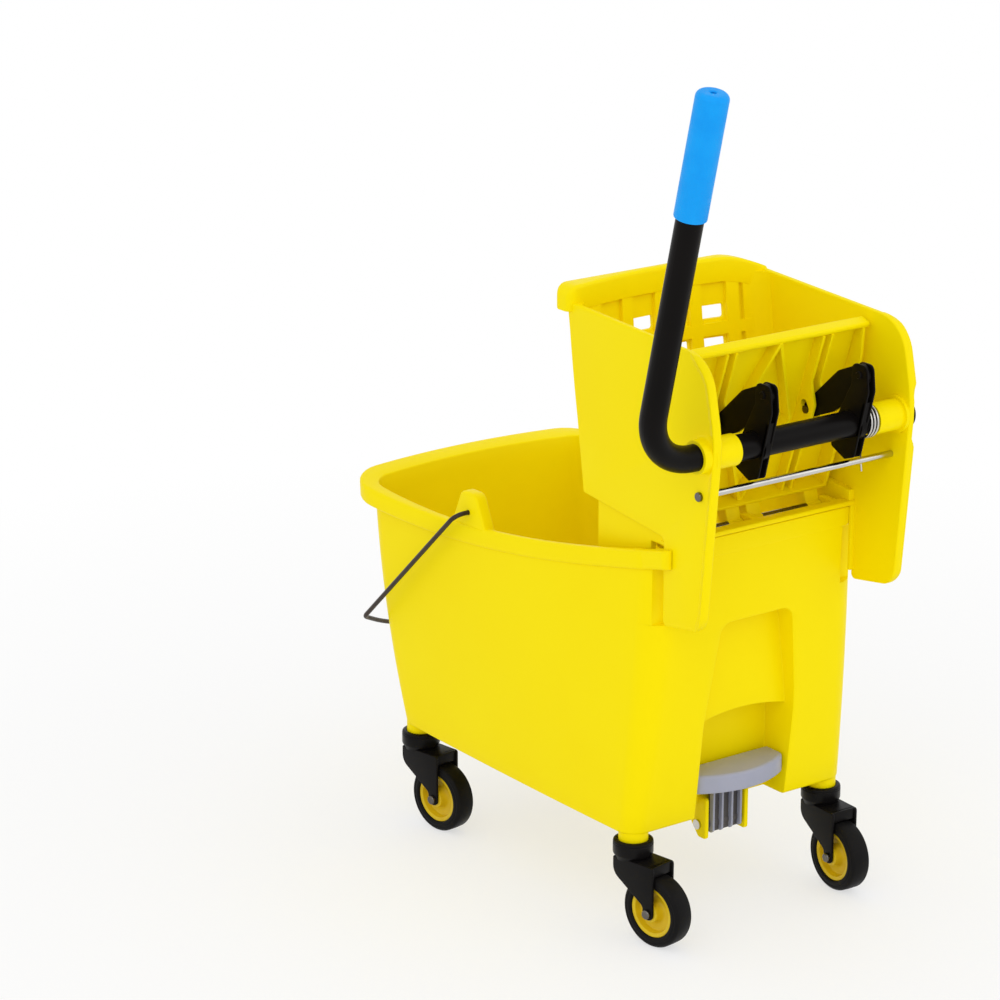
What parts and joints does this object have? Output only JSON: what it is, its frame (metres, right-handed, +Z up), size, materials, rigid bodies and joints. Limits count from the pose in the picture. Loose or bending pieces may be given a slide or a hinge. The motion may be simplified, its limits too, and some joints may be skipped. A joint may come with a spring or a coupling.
{
  "type": "mop bucket",
  "caption": "Wheeled yellow mop bucket with a wire bail, a foot-pedal drain plug and a lift-off side-press wringer worked by a hand lever and a linked press plate.",
  "frame": {"origin": "on the floor, midway between the caster stems along the bucket and on its mid-plane", "axes": "+X towards the wringer and pedal end, +Z up, the hand lever on the -Y side"},
  "size_m": [0.6896, 0.3917, 0.9214],
  "materials": {
    "yellow_plastic": "satin moulded plastic",
    "dark_wire": "dark lacquered wire",
    "grey_plastic": "satin moulded plastic",
    "steel": "plated",
    "seal_rubber": "matt",
    "black_metal": "powder coat",
    "blue_grip": "fine-textured sleeve",
    "black_plastic": "satin moulded plastic",
    "hub_yellow": "satin moulded plastic",
    "tyre": "smooth tread"
  },
  "bodies": {
    "bucket": {"bucket_body": "yellow_plastic", "pedal_pivot_pin": "steel", "stem_rear_near": "steel", "stem_front_near": "steel", "stem_rear_far": "steel", "stem_front_far": "steel"},
    "bail": {"bail": "dark_wire"},
    "pedal": {"pedal": "grey_plastic", "drain_pin": "steel"},
    "plug": {"drain_plug": "grey_plastic", "plug_seal": "seal_rubber"},
    "caster_rear_near": {"fork_rear_near": "black_plastic", "axle_rear_near": "steel", "axle_nut_rear_near": "steel"},
    "wheel_rear_near": {"hub_rear_near": "hub_yellow", "tyre_rear_near": "tyre"},
    "caster_front_near": {"fork_front_near": "black_plastic", "axle_front_near": "steel", "axle_nut_front_near": "steel"},
    "wheel_front_near": {"hub_front_near": "hub_yellow", "tyre_front_near": "tyre"},
    "caster_rear_far": {"fork_rear_far": "black_plastic", "axle_rear_far": "steel", "axle_nut_rear_far": "steel"},
    "wheel_rear_far": {"hub_rear_far": "hub_yellow", "tyre_rear_far": "tyre"},
    "caster_front_far": {"fork_front_far": "black_plastic", "axle_front_far": "steel", "axle_nut_front_far": "steel"},
    "wheel_front_far": {"hub_front_far": "hub_yellow", "tyre_front_far": "tyre"},
    "wringer": {"wringer_basket": "yellow_plastic", "bushing_near": "yellow_plastic", "bushing_far": "yellow_plastic", "tie_rod": "steel", "tie_cap_near": "steel", "tie_cap_far": "steel", "hinge_rod": "steel", "torsion_spring": "steel"},
    "lever": {"lever_tube": "black_metal", "grip": "blue_grip", "shaft_collar": "black_metal", "rocker_arm_near": "black_metal", "rocker_arm_far": "black_metal", "crank_rivet_near": "steel", "crank_rivet_far": "steel"},
    "links": {"press_link_near": "black_metal", "press_link_far": "black_metal", "nose_pin_near": "steel", "nose_pin_far": "steel"},
    "press_plate": {"press_plate": "yellow_plastic"}
  },
  "joints": [
    {"name": "bail_swing", "type": "hinge", "parent": "bucket", "child": "bail", "pos_m": [-0.06, 0, 0.39694], "axis": [0, 1, 0], "range_deg": [0, 140]},
    {"name": "pedal_press", "type": "hinge", "parent": "bucket", "child": "pedal", "pos_m": [0.175, 0, 0.0931], "axis": [0, 1, 0], "range_deg": [0, 12]},
    {"name": "plug_lift", "type": "slide", "parent": "bucket", "child": "plug", "axis": [0, 0, 1], "range_m": [0, 0.016]},
    {"name": "swivel_rear_near", "type": "hinge", "parent": "bucket", "child": "caster_rear_near", "pos_m": [0.19, -0.1265, 0.0982], "axis": [0, 0, 1], "continuous": true},
    {"name": "roll_rear_near", "type": "hinge", "parent": "caster_rear_near", "child": "wheel_rear_near", "pos_m": [0.22452, -0.12072, 0.038], "axis": [-0.165, 0.9863, 0], "continuous": true},
    {"name": "swivel_front_near", "type": "hinge", "parent": "bucket", "child": "caster_front_near", "pos_m": [-0.19, -0.1265, 0.0982], "axis": [0, 0, 1], "continuous": true},
    {"name": "roll_front_near", "type": "hinge", "parent": "caster_front_near", "child": "wheel_front_near", "pos_m": [-0.1554, -0.12121, 0.038], "axis": [-0.1513, 0.9885, 0], "continuous": true},
    {"name": "swivel_rear_far", "type": "hinge", "parent": "bucket", "child": "caster_rear_far", "pos_m": [0.19, 0.1265, 0.0982], "axis": [0, 0, 1], "continuous": true},
    {"name": "roll_rear_far", "type": "hinge", "parent": "caster_rear_far", "child": "wheel_rear_far", "pos_m": [0.22496, 0.12485, 0.038], "axis": [0.0471, 0.9989, 0], "continuous": true},
    {"name": "swivel_front_far", "type": "hinge", "parent": "bucket", "child": "caster_front_far", "pos_m": [-0.19, 0.1265, 0.0982], "axis": [0, 0, 1], "continuous": true},
    {"name": "roll_front_far", "type": "hinge", "parent": "caster_front_far", "child": "wheel_front_far", "pos_m": [-0.15509, 0.12894, 0.038], "axis": [-0.0698, 0.9976, 0], "continuous": true},
    {"name": "wringer_lift", "type": "slide", "parent": "bucket", "child": "wringer", "axis": [0, 0, 1], "range_m": [0, 0.12]},
    {"name": "lever_pull", "type": "hinge", "parent": "wringer", "child": "lever", "pos_m": [0.295, 0, 0.5411], "axis": [0, -1, 0], "range_deg": [0, 75], "stiffness_Nm_per_rad": 1.2, "springref_deg": -57.3, "deforming": ["torsion_spring"]},
    {"name": "link_swing", "type": "hinge", "parent": "lever", "child": "links", "pos_m": [0.3075, 0, 0.5941], "axis": [0, -1, 0], "range_deg": [-90.5, 0]},
    {"name": "plate_swing", "type": "hinge", "parent": "wringer", "child": "press_plate", "pos_m": [0.205, 0, 0.4271], "axis": [0, -1, 0], "range_deg": [0, 35.5]}
  ],
  "couplings": [
    {"joint": "plug_lift", "follows": "pedal_press", "m_per_rad": 0.075759},
    {"joint": "link_swing", "follows": "lever_pull", "ratio": -1.203},
    {"joint": "plate_swing", "follows": "lever_pull", "ratio": 0.47098}
  ]
}
